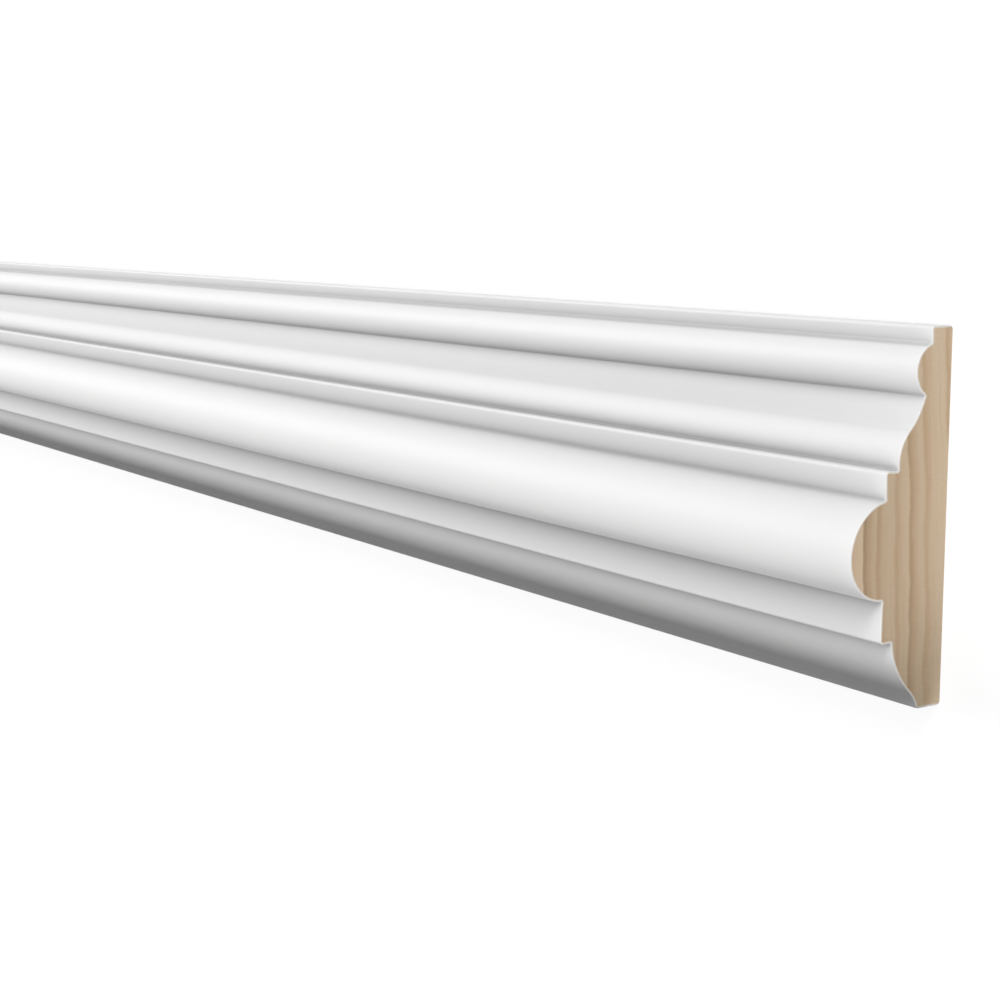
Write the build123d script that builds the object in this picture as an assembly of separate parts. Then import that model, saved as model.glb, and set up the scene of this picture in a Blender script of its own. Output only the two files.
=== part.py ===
from build123d import *
import os

# Dado rail: one stock length of softwood wall moulding, machined to its section from a single board.
# It lies on its flat back. X runs along the rail, +Y is the edge that is uppermost on a wall, and +Z
# points out of the wall. The origin is the middle of the back. Sizes are in millimetres, paint included.

rail_length = 2400.0

# Heights of the members, from the top edge down. Together they make the height of the rail.
top_fillet_height = 3.2
bead_height = 10.1
upper_ogee_height = 14.0
upper_fillet_height = 5.5
torus_upper_height = 10.9
torus_lower_height = 8.8
lower_fillet_height = 8.5
lower_ogee_height = 14.0

# Steps out from the wall, from the top edge down to the nose of the torus
top_edge_thickness = 5.4
quirk_step = 1.5
upper_ogee_step = 6.4
upper_shelf_width = 3.1
torus_bulge = 8.6

# Steps out from the wall, from the bottom edge up to the lower fillet
bottom_edge_thickness = 6.3
lower_ogee_step = 7.55
lower_shelf_width = 2.75

# Curves of the bead and the two ogees
bead_swell = 3.05
upper_ogee_lip_height = 0.7
upper_ogee_round_height = 7.1
upper_ogee_round_step = 2.9
lower_ogee_swell = 1.0
lower_ogee_hollow_height = 3.65
lower_ogee_hollow_step = 2.3

# Corners: the small cove under the top fillet, the eased outer corners, the roots and the back edges
cove_radius = 0.5
arris_radius = 0.4
root_radius = 0.25
back_edge_radius = 0.8

# Levels above the bottom edge
lower_shelf_level = lower_ogee_height
torus_bottom_level = lower_shelf_level + lower_fillet_height
torus_nose_level = torus_bottom_level + torus_lower_height
torus_top_level = torus_nose_level + torus_upper_height
upper_shelf_level = torus_top_level + upper_fillet_height
quirk_level = upper_shelf_level + upper_ogee_height
bead_top_level = quirk_level + bead_height
rail_height = bead_top_level + top_fillet_height
upper_ogee_nose_level = upper_shelf_level + upper_ogee_lip_height

# Projections from the back
quirk_projection = top_edge_thickness + quirk_step
upper_ogee_projection = quirk_projection + upper_ogee_step
upper_fillet_projection = upper_ogee_projection + upper_shelf_width
torus_projection = upper_fillet_projection + torus_bulge
lower_ogee_projection = bottom_edge_thickness + lower_ogee_step
lower_fillet_projection = lower_ogee_projection + lower_shelf_width

# Corners and tangent points of the section, each as its level and its projection
back_bottom = (0, 0)
back_top = (rail_height, 0)
top_front = (rail_height, top_edge_thickness)
bead_top = (bead_top_level, top_edge_thickness)
quirk = (quirk_level, quirk_projection)
upper_ogee_nose = (upper_ogee_nose_level, upper_ogee_projection)
upper_ogee_turn = (
    upper_ogee_nose_level + upper_ogee_round_height,
    upper_ogee_projection - upper_ogee_round_step,
)
upper_shelf_root = (upper_shelf_level, upper_ogee_projection)
upper_shelf_edge = (upper_shelf_level, upper_fillet_projection)
torus_top = (torus_top_level, upper_fillet_projection)
torus_nose = (torus_nose_level, torus_projection)
torus_bottom = (torus_bottom_level, lower_fillet_projection)
lower_shelf_edge = (lower_shelf_level, lower_fillet_projection)
lower_shelf_root = (lower_shelf_level, lower_ogee_projection)
lower_ogee_turn = (lower_ogee_hollow_height, bottom_edge_thickness + lower_ogee_hollow_step)
bottom_front = (0, bottom_edge_thickness)

# Round members: each arc leaves the one before it without a corner, where the two are one curve
upwards = (1, 0)
downwards = (-1, 0)
bead = SagittaArc(bead_top, quirk, -bead_swell)
upper_ogee_round = TangentArc(upper_ogee_nose, upper_ogee_turn, tangent=upwards)
upper_ogee_hollow = TangentArc(upper_ogee_turn, quirk, tangent=upper_ogee_round % 1)
torus_upper_arc = TangentArc(torus_nose, torus_top, tangent=upwards)
torus_lower_arc = TangentArc(torus_nose, torus_bottom, tangent=downwards)
lower_ogee_round = SagittaArc(lower_shelf_root, lower_ogee_turn, -lower_ogee_swell)
lower_ogee_hollow = TangentArc(lower_ogee_turn, bottom_front, tangent=lower_ogee_round % 1)

# Flat members: the back with the two edges, the two shelves and the two fillets
back_and_edges = Polyline(bottom_front, back_bottom, back_top, top_front, bead_top)
upper_shelf = Polyline(upper_ogee_nose, upper_shelf_root, upper_shelf_edge, torus_top)
lower_shelf = Polyline(torus_bottom, lower_shelf_edge, lower_shelf_root)

section = make_face(
    [
        *back_and_edges.edges(),
        bead,
        upper_ogee_hollow,
        upper_ogee_round,
        *upper_shelf.edges(),
        torus_upper_arc,
        torus_lower_arc,
        *lower_shelf.edges(),
        lower_ogee_round,
        lower_ogee_hollow,
    ]
)

corner_radii = [
    (cove_radius, [bead_top]),
    (arris_radius, [top_front, upper_shelf_edge, lower_shelf_edge, bottom_front]),
    (root_radius, [quirk, upper_shelf_root, torus_top, torus_bottom, lower_shelf_root]),
    (back_edge_radius, [back_top, back_bottom]),
]
for radius, corners in corner_radii:
    for corner in corners:
        vertex = section.vertices().sort_by_distance(corner)[0]
        section = fillet(vertex, radius)

# The section stands on the plane of one end, with its levels along Y, centred on the rail's height
section_plane = Plane(
    origin=(-rail_length / 2, -rail_height / 2, 0),
    x_dir=(0, 1, 0),
    z_dir=(1, 0, 0),
)
dado_rail = extrude(section_plane * section, amount=rail_length)

os.makedirs("parts", exist_ok=True)
export_step(dado_rail, "parts/dado_rail.step")
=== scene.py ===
import math

import bpy
from mathutils import Matrix, Vector, geometry


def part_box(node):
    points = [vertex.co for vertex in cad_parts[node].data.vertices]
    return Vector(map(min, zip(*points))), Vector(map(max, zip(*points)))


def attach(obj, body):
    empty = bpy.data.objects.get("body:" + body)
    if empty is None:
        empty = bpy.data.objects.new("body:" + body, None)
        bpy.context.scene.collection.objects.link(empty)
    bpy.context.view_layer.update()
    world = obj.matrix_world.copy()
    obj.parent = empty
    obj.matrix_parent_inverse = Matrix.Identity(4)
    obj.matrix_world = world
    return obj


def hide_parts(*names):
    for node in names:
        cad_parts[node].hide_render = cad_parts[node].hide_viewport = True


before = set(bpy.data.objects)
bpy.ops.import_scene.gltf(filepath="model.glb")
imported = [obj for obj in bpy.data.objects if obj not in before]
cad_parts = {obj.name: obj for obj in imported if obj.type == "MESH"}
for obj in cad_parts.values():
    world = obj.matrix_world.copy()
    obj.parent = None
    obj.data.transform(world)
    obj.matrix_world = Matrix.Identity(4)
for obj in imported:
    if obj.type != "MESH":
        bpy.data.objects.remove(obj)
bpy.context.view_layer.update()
railLow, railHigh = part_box("dado_rail")
mm = 0.001  # the section below is written in millimetres, Blender works in metres
print("frame loaded, rail box", tuple(railLow), tuple(railHigh))


# heights from the top edge down, steps from the back out, as on the real section
railSection = {
    "topFillet": 3.2,
    "bead": 10.1,
    "upperOgee": 14.0,
    "upperFillet": 5.5,
    "torusUpper": 10.9,
    "torusLower": 8.8,
    "lowerFillet": 8.5,
    "topEdge": 5.4,  # thickness of the two thin edges
    "bottomEdge": 6.3,
    "quirkStep": 1.5,
    "upperOgeeStep": 6.4,
    "upperShelf": 3.1,
    "lowerOgeeStep": 7.55,
    "lowerShelf": 2.75,
    "beadSwell": 3.05,
    "ogeeLip": 0.7,  # straight foot of the upper ogee
    "ogeeRoundHeight": 7.1,
    "ogeeRoundStep": 2.9,
    "lowerOgeeSwell": 1.0,
    "lowerHollowHeight": 3.65,
    "lowerHollowStep": 2.3,
    "coveRadius": 0.3,  # small cove under the top fillet
    "arrisRadius": 0.4,
    "upperArris": 0.6,  # the coat rounds the top arris a little, and those of the two shelves more
    "shelfArris": 0.8,
    "rootRadius": 0.25,
    "backRadius": 0.8,
    "pointGap": 0.4,  # spacing of mesh points round the section
    "backGap": 3.0,
    "cornerSteps": 6,
    "mostTrim": 0.9,  # share of a mesh step that a corner may take away
}

# what the saw and the spray gun leave, in millimetres where a note says nothing else
railFinish = {
    "coat": 0.40,  # paint seen as a cut edge round the bare ends
    "coatInRoots": 0.16,  # paint gathers in the inner corners
    "coatOnArris": 0.7,  # and is thin over an arris, as a share of its radius
    "coatSmoothing": 3,  # rounds of smoothing
    "bareRim": 0.15,  # width of the cut edge where there is no paint
    "endArris": 0.07,
    "endArrisSteps": 3,
    "woodBelowPaint": 0.03,
    "paintLap": 0.3,  # the paint on the edges stops this far from the back
    "paintFade": 0.6,
    "endGrid": 3.0,  # spacing of mesh points across a sawn end
    "endMargin": 0.5,  # least gap from there to the rim, as a share of the spacing
    "endMerge": 1e-6,
    "sharpAngle": 32.0,  # in degrees
    "stationGap": 100.0,  # spacing of mesh points along the rail, and their places near an end
    "endStations": (4.0, 9.0, 16.0, 26.0, 42.0, 65.0),
}


def arcPoints(start, end, swell, gap):
    # circular arc that bows out of its chord by swell, to the right of travel
    chord = end - start
    half = chord.length / 2
    right = Vector((chord.y, -chord.x)).normalized()
    radius = (half * half + swell * swell) / (2 * abs(swell))
    centre = start + chord / 2 + right * (swell - math.copysign(radius, swell))
    first = start - centre
    turn = math.copysign(4 * math.atan(abs(swell) / half), swell)
    steps = max(4, math.ceil(radius * abs(turn) / gap))
    points = []
    for i in range(steps + 1):
        points.append(centre + Matrix.Rotation(turn * i / steps, 2) @ first)
    return points


def tangentArc(start, heading, end, gap):
    # the arc that leaves start along heading and comes to end
    chord = end - start
    angle = chord.angle_signed(heading)  # clockwise is positive
    return arcPoints(start, end, chord.length / 2 * math.tan(angle / 2), gap)


def linePoints(start, end, gap):
    steps = max(1, math.ceil((end - start).length / gap))
    return [start.lerp(end, i / steps) for i in range(steps + 1)]


def trimSpan(points, cut):
    # shorten a run of points by cut at its far end
    points = list(points)
    while len(points) > 2 and (points[-1] - points[-2]).length <= cut:
        cut -= (points[-1] - points[-2]).length
        points.pop()
    last = points[-1] - points[-2]
    points[-1] = points[-1] - last.normalized() * min(cut, last.length * railSection["mostTrim"])
    return points


def roundCorner(before, after, radius, steps):
    # trim two runs that meet in a corner and put an arc of the radius between them
    corner = before[-1]
    inward = (before[-1] - before[-2]).normalized()
    outward = (after[1] - after[0]).normalized()
    turn = inward.angle(outward)
    cut = radius * math.tan(turn / 2)
    before = trimSpan(before, cut)
    after = trimSpan(after[::-1], cut)[::-1]
    swell = (after[0] - before[-1]).length / 2 * math.tan(turn / 4)
    side = math.copysign(1, inward.x * outward.y - inward.y * outward.x)
    bend = arcPoints(before[-1], after[0], side * swell, radius * turn / steps)
    return before, bend[1:-1], after


def sectionLoop():
    # the whole outline, as points of (height above the middle, step out from the back)
    s = railSection
    gap = s["pointGap"]
    top = railHigh.y / mm
    bottom = railLow.y / mm
    beadTop = top - s["topFillet"]
    quirk = Vector((beadTop - s["bead"], s["topEdge"] + s["quirkStep"]))
    shelfLevel = quirk.x - s["upperOgee"]
    ogeeFoot = quirk.y + s["upperOgeeStep"]
    ogeeNose = Vector((shelfLevel + s["ogeeLip"], ogeeFoot))
    ogeeTurn = ogeeNose + Vector((s["ogeeRoundHeight"], -s["ogeeRoundStep"]))
    upperFace = ogeeFoot + s["upperShelf"]
    torusTop = Vector((shelfLevel - s["upperFillet"], upperFace))
    torusNose = Vector((torusTop.x - s["torusUpper"], railHigh.z / mm))
    lowerStep = s["bottomEdge"] + s["lowerOgeeStep"]
    lowerFace = lowerStep + s["lowerShelf"]
    torusFoot = Vector((torusNose.x - s["torusLower"], lowerFace))
    lowerLevel = torusFoot.x - s["lowerFillet"]
    lowerRoot = Vector((lowerLevel, lowerStep))
    hollowTop = Vector((bottom + s["lowerHollowHeight"], s["bottomEdge"] + s["lowerHollowStep"]))

    # the outline runs from the back's top edge over the front to the back's bottom edge
    downwards = Vector((-1, 0))
    upwards = Vector((1, 0))
    topFront = Vector((top, s["topEdge"]))
    bottomFront = Vector((bottom, s["bottomEdge"]))
    shelfEdge = Vector((shelfLevel, upperFace))
    shelfRoot = Vector((shelfLevel, ogeeFoot))
    lowerEdge = Vector((lowerLevel, lowerFace))
    ogeeRound = tangentArc(ogeeNose, upwards, ogeeTurn, gap)[::-1]
    ogeeSlope = ogeeRound[0] - ogeeRound[1]
    lowerRound = arcPoints(lowerRoot, hollowTop, s["lowerOgeeSwell"], gap)
    lowerSlope = lowerRound[-1] - lowerRound[-2]
    spans = [
        (linePoints(Vector((top, 0)), topFront, gap), "upperArris"),
        (linePoints(topFront, Vector((beadTop, s["topEdge"])), gap), "coveRadius"),
        (arcPoints(Vector((beadTop, s["topEdge"])), quirk, s["beadSwell"], gap), "rootRadius"),
        (tangentArc(ogeeTurn, ogeeSlope, quirk, gap)[::-1], None),
        (ogeeRound, None),
        (linePoints(ogeeNose, shelfRoot, gap), "rootRadius"),
        (linePoints(shelfRoot, shelfEdge, gap), "shelfArris"),
        (linePoints(shelfEdge, torusTop, gap), "rootRadius"),
        (tangentArc(torusNose, upwards, torusTop, gap)[::-1], None),
        (tangentArc(torusNose, downwards, torusFoot, gap), "rootRadius"),
        (linePoints(torusFoot, lowerEdge, gap), "shelfArris"),
        (linePoints(lowerEdge, lowerRoot, gap), "rootRadius"),
        (lowerRound, None),
        (tangentArc(hollowTop, lowerSlope, bottomFront, gap), "arrisRadius"),
        (linePoints(bottomFront, Vector((bottom, 0)), gap), "backRadius"),
        (linePoints(Vector((bottom, 0)), Vector((top, 0)), s["backGap"]), "backRadius"),
    ]
    runs = [points for points, radius in spans]
    bends = [[] for span in spans]
    for i, (points, radius) in enumerate(spans):
        if radius:
            j = (i + 1) % len(spans)
            runs[i], bends[i], runs[j] = roundCorner(runs[i], runs[j], s[radius], s["cornerSteps"])
    loop = []
    for run, bend in zip(runs, bends):
        loop += run if bend else run[:-1]
        loop += bend
    return loop


def loopNormals(loop):
    normals = []
    for i, point in enumerate(loop):
        along = (loop[(i + 1) % len(loop)] - point).normalized()
        along += (point - loop[i - 1]).normalized()
        normals.append(Vector((along.y, -along.x)).normalized())
    return normals


# painted shade in the inner corners, a darker paint colour standing in for the shade that falls there, in
# millimetres where a note says nothing else
railShade = {
    "creaseReach": 0.7,  # how far an inner corner is felt along the section, at three scales
    "rootReach": 6.0,
    "hollowReach": 28.0,
    "hollowGain": 2.0,
    "fullCrease": 1.05,  # the turn, in radians, that makes a full crease
    "tightRound": 0.25,  # the turn outwards, in radians, of a tight round close by
    "besideCrease": 8,  # mesh points on either side that count as close by
    "driftDown": {"move": 0.75, "reach": 0.3, "strength": 4.5},  # on to a tight round below the corner
    "driftUp": {"move": 0.35, "reach": 0.7, "strength": 1.0},  # on to one above it
    "openEnd": 0.6,  # share by which the painted shade in the hollows is lighter right at an open end
    "openReach": 24.0,
}


def loopHollows(loop, normals, reach):
    # how deep each point lies in an inner corner: 0 on flats and rounds, near 1 in a sharp root
    hollows = []
    count = len(loop)
    for i, point in enumerate(loop):
        total, weight = 0.0, 1e-9  # never zero, also where no point lies within reach
        for direction in (1, -1):
            travelled = 0.0
            j = i
            while travelled < reach:
                k = (j + direction) % count
                step = (loop[k] - loop[j]).length
                travelled += step
                rise = (loop[k] - point).normalized().dot(normals[i])
                fade = max(1 - (travelled - step / 2) / reach, 0.0)
                total += max(rise, 0.0) * step * fade
                weight += step * fade
                j = k
        hollows.append(min(railShade["hollowGain"] * total / weight, 1.0))
    return hollows


def loopCreases(loop):
    # thin lines of painted shade along the inner corners, which beside a tight round lie a little way up the
    # round
    s = railShade
    count = len(loop)
    turns = []  # inwards is positive
    for i, point in enumerate(loop):
        turns.append((point - loop[i - 1]).angle_signed(loop[(i + 1) % count] - point))
    lines = []
    for i, turn in enumerate(turns):
        if turn <= 0:
            continue
        centre, reach = loop[i], s["creaseReach"]
        for direction, drift in ((1, s["driftDown"]), (-1, s["driftUp"])):
            beside = [(i + direction * k) % count for k in range(1, s["besideCrease"] + 1)]
            reached = [loop[j] for j in beside if (loop[j] - loop[i]).length >= drift["move"]]
            if reached and sum(max(-turns[j], 0.0) for j in beside) > s["tightRound"]:
                centre = centre + (reached[0] - centre).normalized() * drift["move"]
                reach = drift["reach"]
                turn *= drift["strength"]
        lines.append((centre, turn, reach))
    creases = []
    for point in loop:
        near = sum(turn * math.exp(-(centre - point).length / reach) for centre, turn, reach in lines)
        creases.append(min(near / s["fullCrease"], 1.0))
    return creases


outline = sectionLoop()
outlineNormals = loopNormals(outline)
creases = loopCreases(outline)
roots = loopHollows(outline, outlineNormals, railShade["rootReach"])
hollows = loopHollows(outline, outlineNormals, railShade["hollowReach"])
print("section outline has", len(outline), "points")


def paintCoats():
    # paint thickness seen on the ends: full in the roots, thin over the arrises, none on the back
    f = railFinish
    count = len(outline)
    coats = []
    for i, (point, root) in enumerate(zip(outline, roots)):
        painted = min(max((point.y - f["paintLap"]) / f["paintFade"], 0.0), 1.0)
        coat = f["coat"] + f["coatInRoots"] * root
        before, after = outlineNormals[i - 1], outlineNormals[(i + 1) % count]
        bend = before.x * after.y - before.y * after.x
        if bend > 0:
            span = (outline[(i + 1) % count] - outline[i - 1]).length
            coat = min(coat, f["coatOnArris"] * span / bend)
        coats.append(f["bareRim"] + painted * (coat - f["bareRim"]))
    for i in range(f["coatSmoothing"]):
        coats = [(coats[j - 1] + 2 * coats[j] + coats[(j + 1) % count]) / 4 for j in range(count)]
    return coats


def fillEnd(loop):
    # triangles across an end, with points of a plain grid inside the loop to keep them even
    f = railFinish
    gap = f["endGrid"]
    inside = []
    across = math.ceil((railHigh.y - railLow.y) / mm / gap)
    out = math.ceil(railHigh.z / mm / gap)
    for i in range(across):
        for j in range(out):
            spot = Vector((railLow.y / mm + (i + 0.5 + 0.5 * (j % 2)) * gap, (j + 0.5) * gap))
            nearest = min(range(len(loop)), key=lambda k: (loop[k] - spot).length_squared)
            away = spot - loop[nearest]
            if away.length > f["endMargin"] * gap and away.dot(outlineNormals[nearest]) < 0:
                inside.append(spot)
    count = len(loop)
    edges = [(i, (i + 1) % count) for i in range(count)]
    made = geometry.delaunay_2d_cdt(loop + inside, edges, [], 1, f["endMerge"])
    return made[0], made[2]


def buildRail():
    f, s = railFinish, railShade
    count = len(outline)
    half = railHigh.x / mm
    coats = paintCoats()

    def ringOf(x, insets):
        return [
            (x * mm, (p.x - n.x * d) * mm, (p.y - n.y * d) * mm)
            for p, n, d in zip(outline, outlineNormals, insets)
        ]

    # loops of points from the far end to the near end
    arris = f["endArris"]
    ends = []
    for i in range(f["endArrisSteps"] + 1):
        angle = math.pi / 2 * i / f["endArrisSteps"]
        ends.append((half - arris * (1 - math.sin(angle)), [arris * (1 - math.cos(angle))] * count))
    ends.append((half, coats))
    ends.append((half - f["woodBelowPaint"], [coat + f["woodBelowPaint"] for coat in coats]))
    rings = [ringOf(-x, insets) for x, insets in reversed(ends)]
    steps = round(2 * half / f["stationGap"])
    first = half - arris
    stations = [-first + 2 * first * i / steps for i in range(1, steps)]
    stations += [side * (first - away) for side in (-1, 1) for away in f["endStations"]]
    rings += [ringOf(x, [0.0] * count) for x in sorted(stations)]
    rings += [ringOf(x, insets) for x, insets in ends]

    vertices = [vertex for ring in rings for vertex in ring]
    faces = []
    kinds = []  # paint, its cut edge, bare back or sawn end
    endLoops = len(ends)
    for r in range(len(rings) - 1):
        onEnd = r < endLoops - 1 or r >= len(rings) - endLoops
        woodStep = r == 0 or r == len(rings) - 2
        cutRing = r == 1 or r == len(rings) - 3
        for i in range(count):
            j = (i + 1) % count
            faces.append((r * count + i, r * count + j, (r + 1) * count + j, (r + 1) * count + i))
            bare = (outline[i].y + outline[j].y) / 2 < f["paintLap"]
            if onEnd:
                kinds.append("sawnEnd" if woodStep or bare else "cutCoat" if cutRing else "satinPaint")
            else:
                kinds.append("bareBack" if bare else "satinPaint")
    lastInset = ends[-1][1]
    woodLoop = [p - n * d for p, n, d in zip(outline, outlineNormals, lastInset)]
    spots, triangles = fillEnd(woodLoop)
    for x, first, outwards in ((-ends[-1][0], 0, -1), (ends[-1][0], (len(rings) - 1) * count, 1)):
        base = len(vertices) - count
        vertices += [(x * mm, spot.x * mm, spot.y * mm) for spot in spots[count:]]
        for triangle in triangles:
            corners = tuple(first + i if i < count else base + i for i in triangle)
            faces.append(corners[::outwards])
            kinds.append("sawnEnd")

    mesh = bpy.data.meshes.new("dadoRail")
    mesh.from_pydata(vertices, [], faces)
    mesh.update()
    ringPoints = len(rings) * count
    # corner depths that carry the painted shade into the paint colour, with the painted shade of roots and
    # hollows lighter near the open ends
    for name, values, opened in (("crease", creases, 0.0), ("root", roots, 1.0), ("hollow", hollows, 1.0)):
        layer = mesh.attributes.new(name, "FLOAT", "POINT")
        for index, item in enumerate(layer.data):
            ring = index // count
            fromEnd = min(ring, len(rings) - 1 - ring)
            if fromEnd >= endLoops - 1 and index < ringPoints:
                away = half - abs(vertices[index][0]) / mm
                lighter = opened * s["openEnd"] * math.exp(-away / s["openReach"])
                item.value = values[index % count] * (1 - lighter)
    unwrapRail(mesh, kinds, count)
    mesh.polygons.foreach_set("use_smooth", [True] * len(mesh.polygons))
    mesh.set_sharp_from_angle(angle=math.radians(f["sharpAngle"]))
    rail = bpy.data.objects.new("paintedDadoRail", mesh)
    bpy.context.collection.objects.link(rail)
    return rail, kinds


# shares of the bake picture: the long faces lie along it, the two ends get a third
bakeLayout = {
    "front": (0.01, 0.01, 0.99, 0.41),
    "back": (0.01, 0.44, 0.99, 0.64),
    "farEnd": (0.01, 0.67, 0.485, 0.99),
    "nearEnd": (0.515, 0.67, 0.99, 0.99),
}


def unwrapRail(mesh, kinds, count):
    lengths = [0.0]
    for i in range(count):
        lengths.append(lengths[-1] + (outline[(i + 1) % count] - outline[i]).length)
    layer = mesh.uv_layers.new(name="OFBake")
    endStart = railHigh.x - railFinish["endArris"] * mm

    def place(area, u, v):
        x0, y0, x1, y1 = bakeLayout[area]
        return (x0 + (x1 - x0) * u, y0 + (y1 - y0) * v)

    for polygon, kind in zip(mesh.polygons, kinds):
        middle = polygon.center.x
        wraps = polygon.index % count == count - 1
        for loopIndex in polygon.loop_indices:
            index = mesh.loops[loopIndex].vertex_index
            x, y, z = mesh.vertices[index].co
            across = (y - railLow.y) / (railHigh.y - railLow.y)
            along = (x - railLow.x) / (railHigh.x - railLow.x)
            if abs(middle) > endStart:
                area = "farEnd" if middle < 0 else "nearEnd"
                layer.data[loopIndex].uv = place(area, across, z / railHigh.z)
            elif kind == "bareBack":
                layer.data[loopIndex].uv = place("back", along, across)
            else:
                point = index % count
                length = lengths[count] if wraps and point == 0 else lengths[point]
                layer.data[loopIndex].uv = place("front", along, length / lengths[count])


rail, railKinds = buildRail()
print("rail mesh has", len(rail.data.vertices), "points and", len(rail.data.polygons), "faces")


def mathNode(tree, operation, *values, clamp=False):
    node = tree.nodes.new("ShaderNodeMath")
    node.operation = operation
    node.use_clamp = clamp
    for socket, value in zip(node.inputs, values):
        if isinstance(value, (int, float)):
            socket.default_value = value
        else:
            tree.links.new(value, socket)
    return node.outputs[0]


def noiseNode(tree, vector, scale, detail=2.0, roughness=0.5):
    node = tree.nodes.new("ShaderNodeTexNoise")
    node.inputs["Scale"].default_value = scale
    node.inputs["Detail"].default_value = detail
    node.inputs["Roughness"].default_value = roughness
    tree.links.new(vector, node.inputs["Vector"])
    return node.outputs["Fac"]


def stretchNode(tree, vector, scale):
    node = tree.nodes.new("ShaderNodeVectorMath")
    node.operation = "MULTIPLY"
    tree.links.new(vector, node.inputs[0])
    node.inputs[1].default_value = scale
    return node.outputs[0]


def mixColour(tree, factor, first, second, blend="MIX"):
    node = tree.nodes.new("ShaderNodeMix")
    node.data_type = "RGBA"
    node.blend_type = blend
    tree.links.new(factor, node.inputs["Factor"])
    for socket, value in ((node.inputs[6], first), (node.inputs[7], second)):  # its two colours
        if isinstance(value, tuple):
            socket.default_value = (*value, 1.0)
        else:
            tree.links.new(value, socket)
    return node.outputs[2]


# growth rings of the stock, in millimetres
pineRings = {
    # depth of each dark line at the near end, its strength, and the tone of the wood that follows it
    "lines": (
        (5.2, 0.58, 0.36),
        (9.5, 0.88, 0.45),
        (13.4, 0.50, 0.75),
        (18.3, 0.52, 0.90),
        (21.8, 1.00, 0.00),
        (25.3, 0.50, 0.02),
    ),
    "period": 26.2,
    "profile": ((-2.6, 0.05), (-0.9, 0.55), (-0.3, 1.0), (0.1, 0.85), (0.5, 0.0)),
    "toneStart": 0.3,  # the next tone starts this far past a line
    "tilt": 0.045,
    "bow": 690.0,  # radius of the rings' slight bow
    "slopeAlong": 1 / 80,
    "wave": 1.5,
    "waveSize": 15.0,
    "waveDrawn": 0.06,  # its share along the stock
    "layers": 0.6,  # strength of the fine layers between the lines
    "clouds": 0.2,  # strength of the paler clouds
    # stretch of each pattern along, across and into the stock, then detail and roughness of its noise
    "waveDetail": (3.5, 0.55),
    "layerStretch": (0.003, 0.035, 1.25),
    "layerDetail": (4.0, 0.6),
    "fibreStretch": (0.025, 1.0, 1.0),
    "fibreScale": 2.6,
    "fibreDetail": (3.0, 0.6),
    "rayStretch": (0.1, 2.2, 0.16),
    "rayDetail": (1.0, 0.5),
    "cloudStretch": (0.004, 0.07, 0.1),
    "cloudDetail": (2.0, 0.5),
    # pale early wood, amber, brown and dark late wood
    "browns": (
        (0.00, (0.610, 0.483, 0.339)),
        (0.35, (0.516, 0.366, 0.235)),
        (0.62, (0.453, 0.312, 0.186)),
        (1.00, (0.328, 0.221, 0.119)),
    ),
    "toned": (0.77, 0.735, 0.685),  # how much darker the wood is where its tone is 1
    "pale": (0.65, 0.535, 0.40),
}


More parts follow.
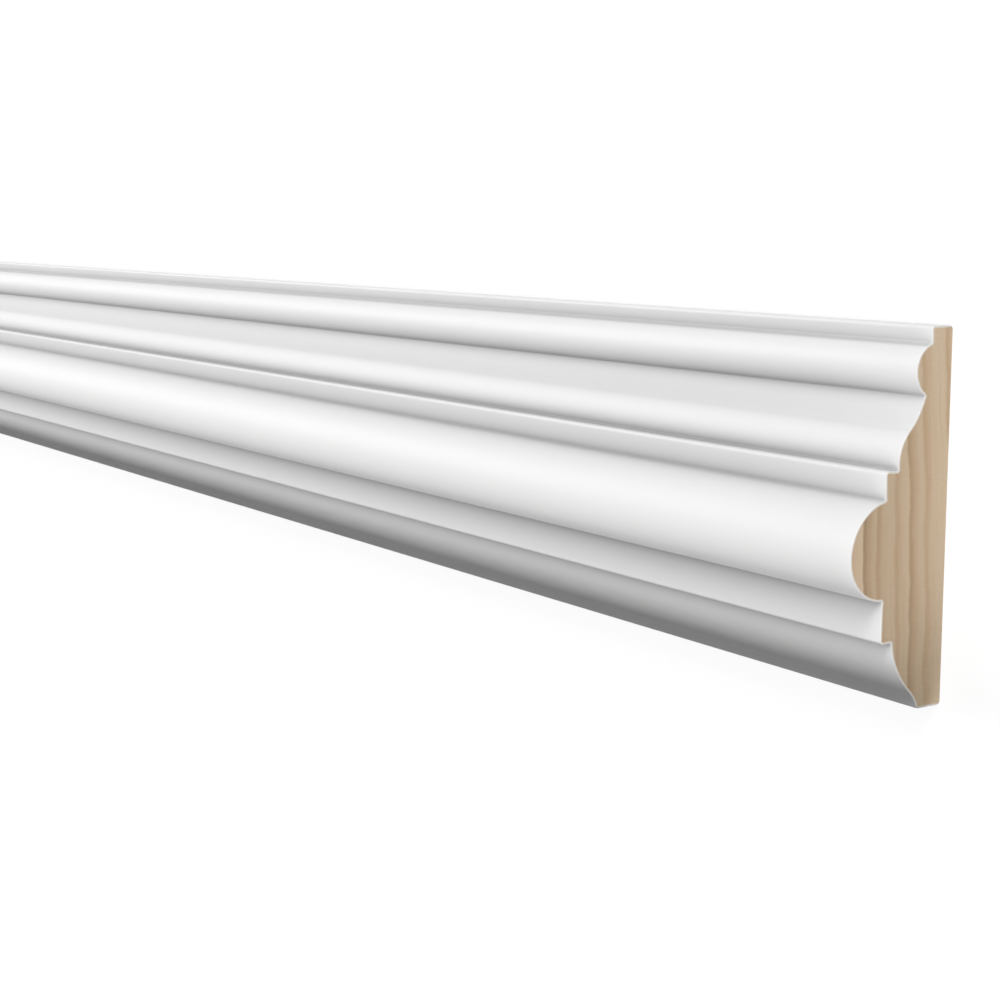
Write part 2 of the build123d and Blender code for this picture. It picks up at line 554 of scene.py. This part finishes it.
def makePineGrain():
    # rings and fibres of one board, the same in the bare wood and under the paint
    r = pineRings
    tree = bpy.data.node_groups.new("pineGrain", "ShaderNodeTree")
    tree.interface.new_socket(name="Colour", in_out="OUTPUT", socket_type="NodeSocketColor")
    for name in ("Latewood", "Fibre", "Ray"):
        tree.interface.new_socket(name=name, in_out="OUTPUT", socket_type="NodeSocketFloat")
    out = tree.nodes.new("NodeGroupOutput")
    place = stretchNode(tree, tree.nodes.new("ShaderNodeTexCoord").outputs["Object"], (1 / mm,) * 3)
    parts = tree.nodes.new("ShaderNodeSeparateXYZ")
    tree.links.new(place, parts.inputs[0])
    x, y, z = parts.outputs

    size = r["waveSize"]
    waveStretch = (r["waveDrawn"] / size, 1 / size, 1 / size)
    waves = noiseNode(tree, stretchNode(tree, place, waveStretch), 1.0, *r["waveDetail"])
    wave = mathNode(tree, "MULTIPLY", mathNode(tree, "SUBTRACT", waves, 0.5), 2 * r["wave"])
    curve = mathNode(tree, "MULTIPLY", mathNode(tree, "MULTIPLY", y, y), -1 / (2 * r["bow"]))
    depth = mathNode(tree, "ADD", z, curve)
    depth = mathNode(tree, "MULTIPLY_ADD", y, -r["tilt"], depth)
    ahead = mathNode(tree, "SUBTRACT", railHigh.x / mm, x)
    depth = mathNode(tree, "MULTIPLY_ADD", ahead, r["slopeAlong"], depth)
    depth = mathNode(tree, "ADD", depth, wave)
    phase = mathNode(tree, "FRACT", mathNode(tree, "DIVIDE", depth, r["period"]))

    # each ring darkens slowly towards its late wood and ends sharply: red holds the line, green the tone
    ramp = tree.nodes.new("ShaderNodeValToRGB")
    stops = ramp.color_ramp.elements
    ramp.color_ramp.interpolation = "LINEAR"
    stops[0].position = 0.0
    stops[0].color = (0, 0, 0, 1)
    stops[1].position = 1.0
    stops[1].color = (0, 0, 0, 1)
    tone = 0.0
    for line, strength, following in r["lines"]:
        for offset, level in r["profile"]:
            stop = stops.new((line + offset) / r["period"])
            stop.color = (strength * level, following if offset > r["toneStart"] else tone, 0, 1)
        tone = following
    tree.links.new(phase, ramp.inputs[0])
    rings = tree.nodes.new("ShaderNodeSeparateColor")
    tree.links.new(ramp.outputs[0], rings.inputs[0])
    latewood, tone = rings.outputs[:2]
    tree.links.new(latewood, out.inputs["Latewood"])

    # fine layers within each ring
    layers = tree.nodes.new("ShaderNodeCombineXYZ")
    for part, stretch, socket in zip((x, y, depth), r["layerStretch"], layers.inputs):
        tree.links.new(mathNode(tree, "MULTIPLY", part, stretch), socket)
    layer = noiseNode(tree, layers.outputs[0], 1.0, *r["layerDetail"])
    layer = mathNode(tree, "SUBTRACT", layer, 0.5)
    fibre = noiseNode(tree, stretchNode(tree, place, r["fibreStretch"]), r["fibreScale"], *r["fibreDetail"])
    tree.links.new(fibre, out.inputs["Fibre"])
    ray = noiseNode(tree, stretchNode(tree, place, r["rayStretch"]), 1.0, *r["rayDetail"])
    tree.links.new(ray, out.inputs["Ray"])

    # the late wood picks the brown, the tone darkens it and paler clouds lie over it
    late = mathNode(tree, "MULTIPLY_ADD", layer, r["layers"], latewood)
    browns = tree.nodes.new("ShaderNodeValToRGB")
    stops = browns.color_ramp.elements
    stops.remove(stops[1])
    for i, (position, brown) in enumerate(r["browns"]):
        stop = stops[0] if i == 0 else stops.new(position)
        stop.color = (*brown, 1)
    tree.links.new(late, browns.inputs[0])
    colour = mixColour(tree, tone, browns.outputs[0], r["toned"], "MULTIPLY")
    cloud = noiseNode(tree, stretchNode(tree, place, r["cloudStretch"]), 1.0, *r["cloudDetail"])
    pale = mathNode(tree, "MULTIPLY", cloud, r["clouds"])
    tree.links.new(mixColour(tree, pale, colour, r["pale"]), out.inputs["Colour"])
    return tree


pineGrain = makePineGrain()


def startMaterial(name):
    material = bpy.data.materials.new(name)
    material.use_nodes = True
    tree = material.node_tree
    tree.nodes.clear()
    shader = tree.nodes.new("ShaderNodeBsdfPrincipled")
    out = tree.nodes.new("ShaderNodeOutputMaterial")
    tree.links.new(shader.outputs["BSDF"], out.inputs["Surface"])
    return material, tree, shader


def placeGroup(tree, group):
    node = tree.nodes.new("ShaderNodeGroup")
    node.node_tree = group
    return node.outputs


def addBump(tree, shader, height, distance, strength=1.0):
    bump = tree.nodes.new("ShaderNodeBump")
    bump.inputs["Distance"].default_value = distance
    bump.inputs["Strength"].default_value = strength
    tree.links.new(height, bump.inputs["Height"])
    tree.links.new(bump.outputs["Normal"], shader.inputs["Normal"])


satinPaint = {
    "white": (0.86, 0.86, 0.857),
    "paintedShade": (0.20, 0.20, 0.205),  # painted shade: a grey that darkens the white in the inner corners, where shade falls
    "shadeInCreases": 0.38,
    "shadeInRoots": 0.28,
    "shadeInHollows": 0.60,
    "roughness": (0.36, 0.46),
    "cloudStretch": (4.0, 60.0, 60.0),  # faint clouds in the coat, per metre
    "tint": (0.80, 0.79, 0.77),
    "tintStrength": 0.03,
    "peelSize": 0.9,  # orange peel of the sprayed coat
    "ringRelief": 0.35,  # how far the wood's rings and fibres show through, against the peel
    "fibreRelief": 0.3,
    "bumpDepth": 0.012,
}


def makeSatinPaint():
    p = satinPaint
    material, tree, shader = startMaterial("satinPaint")
    place = tree.nodes.new("ShaderNodeTexCoord").outputs["Object"]
    grain = placeGroup(tree, pineGrain)
    peel = noiseNode(tree, place, 1 / (p["peelSize"] * mm))
    cloud = noiseNode(tree, stretchNode(tree, place, p["cloudStretch"]), 1.0)
    colour = p["white"]
    # painted shade: the white darkens towards the grey by how deep each point lies in a crease, a root and a
    # hollow
    for name, strength in (("crease", p["shadeInCreases"]), ("root", p["shadeInRoots"]), ("hollow", p["shadeInHollows"])):
        depth = tree.nodes.new("ShaderNodeAttribute")
        depth.attribute_name = name
        shade = mathNode(tree, "MULTIPLY", depth.outputs["Fac"], strength)
        colour = mixColour(tree, shade, colour, p["paintedShade"])
    tint = mathNode(tree, "MULTIPLY", cloud, p["tintStrength"])
    colour = mixColour(tree, tint, colour, p["tint"])
    tree.links.new(colour, shader.inputs["Base Color"])
    smooth, rough = p["roughness"]
    spread = mathNode(tree, "MULTIPLY_ADD", cloud, rough - smooth, smooth)
    tree.links.new(spread, shader.inputs["Roughness"])
    height = mathNode(tree, "MULTIPLY_ADD", grain["Latewood"], p["ringRelief"], peel)
    height = mathNode(tree, "MULTIPLY_ADD", grain["Fibre"], p["fibreRelief"], height)
    addBump(tree, shader, height, p["bumpDepth"] * mm)
    return material


barePine = {
    "pore": (0.37, 0.25, 0.135),
    "pores": (0.6, -0.2),  # strength and start of the dark pores on a sawn end
    "rays": 0.1,
    "streaks": 0.3,  # dark fibres along the back
    "endRoughness": 0.72,
    "backRoughness": 0.62,
    "endPolish": -0.12,  # the late wood is smoother
    "backPolish": -0.1,
    "endBump": 0.05,
    "backBump": 0.05,
    "endRings": 0.5,  # relief of the late wood, against the fibres
    "backRings": 0.6,
    "sawPitch": 1.1,
    "sawBands": 3.2,  # bands of the wave texture in one unit of its scale
    "sawWander": 1.5,
    "sawTilt": 12.0,  # in degrees
    "sawRelief": 0.25,
    "lapEdge": 36.4,  # where the coat's lap on the back begins, measured from the middle
    "lapRagged": 1.6,
    "lapStretch": (60.0, 400.0, 400.0),  # per metre
    "lapDetail": 4.0,
    "lapEdgeSlope": 2.0,
}


def makeSawnEnd():
    b = barePine
    material, tree, shader = startMaterial("sawnEnd")
    grain = placeGroup(tree, pineGrain)
    place = tree.nodes.new("ShaderNodeTexCoord").outputs["Object"]
    speck = mathNode(tree, "MULTIPLY_ADD", grain["Fibre"], *b["pores"], clamp=True)
    colour = mixColour(tree, speck, grain["Colour"], b["pore"])
    ray = mathNode(tree, "MULTIPLY", grain["Ray"], b["rays"])
    colour = mixColour(tree, ray, colour, pineRings["pale"])
    tree.links.new(colour, shader.inputs["Base Color"])
    rough = mathNode(tree, "MULTIPLY_ADD", grain["Latewood"], b["endPolish"], b["endRoughness"])
    tree.links.new(rough, shader.inputs["Roughness"])
    saw = tree.nodes.new("ShaderNodeTexWave")
    saw.bands_direction = "Y"
    saw.inputs["Scale"].default_value = 1 / (b["sawPitch"] * mm) / b["sawBands"]
    saw.inputs["Distortion"].default_value = b["sawWander"]
    turned = tree.nodes.new("ShaderNodeMapping")
    turned.inputs["Rotation"].default_value = (math.radians(b["sawTilt"]), 0, 0)
    tree.links.new(place, turned.inputs["Vector"])
    tree.links.new(turned.outputs[0], saw.inputs["Vector"])
    height = mathNode(tree, "MULTIPLY_ADD", saw.outputs["Fac"], b["sawRelief"], grain["Fibre"])
    height = mathNode(tree, "MULTIPLY_ADD", grain["Latewood"], b["endRings"], height)
    addBump(tree, shader, height, b["endBump"] * mm)
    return material


def makeBareBack():
    b = barePine
    material, tree, shader = startMaterial("bareBack")
    grain = placeGroup(tree, pineGrain)
    place = tree.nodes.new("ShaderNodeTexCoord").outputs["Object"]
    streak = mathNode(tree, "MULTIPLY", grain["Fibre"], b["streaks"])
    colour = mixColour(tree, streak, grain["Colour"], b["pore"])
    # the sprayed coat laps raggedly round the two long edges
    parts = tree.nodes.new("ShaderNodeSeparateXYZ")
    tree.links.new(place, parts.inputs[0])
    away = mathNode(tree, "MULTIPLY", mathNode(tree, "ABSOLUTE", parts.outputs["Y"]), 1 / mm)
    ragged = noiseNode(tree, stretchNode(tree, place, b["lapStretch"]), 1.0, b["lapDetail"])
    away = mathNode(tree, "MULTIPLY_ADD", ragged, b["lapRagged"], away)
    edge = mathNode(tree, "SUBTRACT", away, b["lapEdge"] + b["lapRagged"] / 2)
    lap = mathNode(tree, "MULTIPLY_ADD", edge, b["lapEdgeSlope"], 0.5, clamp=True)
    colour = mixColour(tree, lap, colour, satinPaint["white"])
    tree.links.new(colour, shader.inputs["Base Color"])
    rough = mathNode(tree, "MULTIPLY_ADD", grain["Latewood"], b["backPolish"], b["backRoughness"])
    tree.links.new(rough, shader.inputs["Roughness"])
    height = mathNode(tree, "MULTIPLY_ADD", grain["Latewood"], b["backRings"], grain["Fibre"])
    addBump(tree, shader, height, b["backBump"] * mm)
    return material


cutCoat = {
    "cream": (0.645, 0.59, 0.525),
    "white": (0.70, 0.67, 0.625),
    "roughness": (0.5, 0.65),
    "gritSize": 0.5,
    "gritDetail": 3.0,
    "bumpDepth": 0.02,
}


def makeCutCoat():
    # the sawn edge of the coat, where the cream of the undercoat shows
    c = cutCoat
    material, tree, shader = startMaterial("cutCoat")
    place = tree.nodes.new("ShaderNodeTexCoord").outputs["Object"]
    grit = noiseNode(tree, place, 1 / (c["gritSize"] * mm), c["gritDetail"])
    tree.links.new(mixColour(tree, grit, c["cream"], c["white"]), shader.inputs["Base Color"])
    smooth, rough = c["roughness"]
    tree.links.new(mathNode(tree, "MULTIPLY_ADD", grit, rough - smooth, smooth), shader.inputs["Roughness"])
    addBump(tree, shader, grit, c["bumpDepth"] * mm)
    return material


railMaterials = {
    "satinPaint": makeSatinPaint(),
    "cutCoat": makeCutCoat(),
    "sawnEnd": makeSawnEnd(),
    "bareBack": makeBareBack(),
}
for material in railMaterials.values():
    rail.data.materials.append(material)
slots = list(railMaterials)
rail.data.polygons.foreach_set("material_index", [slots.index(kind) for kind in railKinds])
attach(rail, "root")
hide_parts("dado_rail")
print("rail dressed in", ", ".join(slots))


stage = {
    "floorHalf": 12.0,  # in metres
    "bounce": 0.35,  # what the floor gives back to the rail
    "shown": 0.17,  # lit share of the white that the camera sees, which takes the shadow
    "glow": 0.86,
    "ambient": 0.145,
}


def seenDirectly(tree):
    # 1 for what the camera, a reflection or a see-through ray meets
    path = tree.nodes.new("ShaderNodeLightPath")
    seen = mathNode(tree, "MAXIMUM", path.outputs["Is Camera Ray"], path.outputs["Is Glossy Ray"])
    return mathNode(tree, "MAXIMUM", seen, path.outputs["Is Transmission Ray"])


def makeSheet(name, corners):
    mesh = bpy.data.meshes.new(name)
    mesh.from_pydata(corners, [], [(0, 1, 2, 3)])
    sheet = bpy.data.objects.new(name, mesh)
    bpy.context.collection.objects.link(sheet)
    return sheet


def makeFloor():
    half = stage["floorHalf"]
    floor = makeSheet("floor", [(-half, -half, 0), (half, -half, 0), (half, half, 0), (-half, half, 0)])
    material = bpy.data.materials.new("paleFloor")
    material.use_nodes = True
    tree = material.node_tree
    tree.nodes.clear()
    bounce = tree.nodes.new("ShaderNodeBsdfDiffuse")
    bounce.inputs["Color"].default_value = (*(stage["bounce"],) * 3, 1)
    shown = tree.nodes.new("ShaderNodeBsdfDiffuse")
    shown.inputs["Color"].default_value = (*(stage["shown"],) * 3, 1)
    glow = tree.nodes.new("ShaderNodeEmission")
    glow.inputs["Strength"].default_value = stage["glow"]
    both = tree.nodes.new("ShaderNodeAddShader")
    tree.links.new(shown.outputs[0], both.inputs[0])
    tree.links.new(glow.outputs[0], both.inputs[1])
    pick = tree.nodes.new("ShaderNodeMixShader")
    tree.links.new(seenDirectly(tree), pick.inputs[0])
    tree.links.new(bounce.outputs[0], pick.inputs[1])
    tree.links.new(both.outputs[0], pick.inputs[2])
    out = tree.nodes.new("ShaderNodeOutputMaterial")
    tree.links.new(pick.outputs[0], out.inputs["Surface"])
    floor.data.materials.append(material)


def makeWorld():
    world = bpy.data.worlds.new("studio")
    bpy.context.scene.world = world
    world.use_nodes = True
    tree = world.node_tree
    tree.nodes.clear()
    sky = tree.nodes.new("ShaderNodeBackground")
    sky.inputs["Color"].default_value = (1, 1, 1, 1)
    lit = mathNode(tree, "MULTIPLY_ADD", seenDirectly(tree), 1 - stage["ambient"], stage["ambient"])
    tree.links.new(lit, sky.inputs["Strength"])
    out = tree.nodes.new("ShaderNodeOutputWorld")
    tree.links.new(sky.outputs[0], out.inputs["Surface"])


# a low dark card beside the rail keeps the fill off the lower ogee, out of the camera's sight
# light passes under it to the bottom edge
shadeCard = {"gap": 3.0, "foot": 5.2, "top": 22.0, "overhang": 25.0, "tone": 0.02}


def makeShadeCard():
    y = railLow.y - shadeCard["gap"] * mm
    foot, top = shadeCard["foot"] * mm, shadeCard["top"] * mm
    x = railHigh.x + shadeCard["overhang"] * mm
    card = makeSheet("shadeCard", [(-x, y, foot), (x, y, foot), (x, y, top), (-x, y, top)])
    card.visible_camera = False
    material = bpy.data.materials.new("shadeCard")
    material.use_nodes = True
    shader = material.node_tree.nodes["Principled BSDF"]
    shader.inputs["Base Color"].default_value = (*(shadeCard["tone"],) * 3, 1)
    shader.inputs["Roughness"].default_value = 1.0
    card.data.materials.append(material)
    return card


# broad soft lamps, far off so that the whole length is lit alike
lamps = {
    "key": {"towards": (0.45, 0.77, 0.45), "strength": 1.7, "width": 30},
    "brow": {"towards": (0.55, 0.47, 0.69), "strength": 0.69, "width": 36},
    "sheen": {"towards": (-0.80, 0.30, 0.52), "strength": 0.5, "width": 32},
    "fill": {"towards": (0.45, -0.31, 0.84), "strength": 0.6, "width": 30},
    "lowFill": {"towards": (0.64, -0.64, 0.43), "strength": 1.16, "width": 38},
}


def makeLamps(card):
    # lamps on the card's far side pass it by, so it throws no shadow on the floor before it
    passedBy = bpy.data.collections.new("lampsPassBy")
    passedBy.objects.link(card)
    passedBy.collection_objects[0].light_linking.link_state = "EXCLUDE"
    for name, lamp in lamps.items():
        light = bpy.data.lights.new(name, "SUN")
        light.energy = lamp["strength"]
        light.angle = math.radians(lamp["width"])
        towards = Vector(lamp["towards"])
        lampObject = bpy.data.objects.new(name, light)
        lampObject.rotation_euler = towards.to_track_quat("Z", "Y").to_euler()
        bpy.context.collection.objects.link(lampObject)
        if towards.y > 0:
            lampObject.light_linking.blocker_collection = passedBy


# a small soft lamp that faces the far end, which the others hardly reach
farLamp = {"gap": 130.0, "foot": 5.0, "width": 300.0, "height": 200.0, "power": 0.19}


def makeFarLamp():
    light = bpy.data.lights.new("farLamp", "AREA")
    light.shape = "RECTANGLE"
    light.size = farLamp["width"] * mm
    light.size_y = farLamp["height"] * mm
    light.energy = farLamp["power"]
    lampObject = bpy.data.objects.new("farLamp", light)
    lampObject.location = (railLow.x - farLamp["gap"] * mm, 0, (farLamp["height"] / 2 + farLamp["foot"]) * mm)
    lampObject.rotation_euler = (0, math.radians(-90), 0)
    lampObject.visible_camera = False
    bpy.context.collection.objects.link(lampObject)


makeFloor()
makeWorld()
makeLamps(makeShadeCard())
makeFarLamp()
print("stage set with", len(lamps) + 1, "lamps")


# the photograph's standpoint: upright in the picture is the rail's own height
cameraView = {
    "place": (1460.85, 59.107, 271.86),
    "aim": (1045.345, -15.928, 4.045),
    "lens": 68.4,
    "film": 36.0,
    "near": 10.0,  # nothing closer is drawn
}


def makeCamera():
    data = bpy.data.cameras.new("camera")
    data.lens = cameraView["lens"]
    data.sensor_width = cameraView["film"]
    data.clip_start = cameraView["near"] * mm
    place = Vector(cameraView["place"]) * mm
    backwards = (place - Vector(cameraView["aim"]) * mm).normalized()
    right = Vector((0, 1, 0)).cross(backwards).normalized()
    up = backwards.cross(right)
    turn = Matrix((right, up, backwards)).transposed()
    camera = bpy.data.objects.new("camera", data)
    camera.matrix_world = Matrix.Translation(place) @ turn.to_4x4()
    bpy.context.collection.objects.link(camera)
    bpy.context.scene.camera = camera


makeCamera()
bpy.context.scene.view_settings.view_transform = "Standard"
print("camera placed")
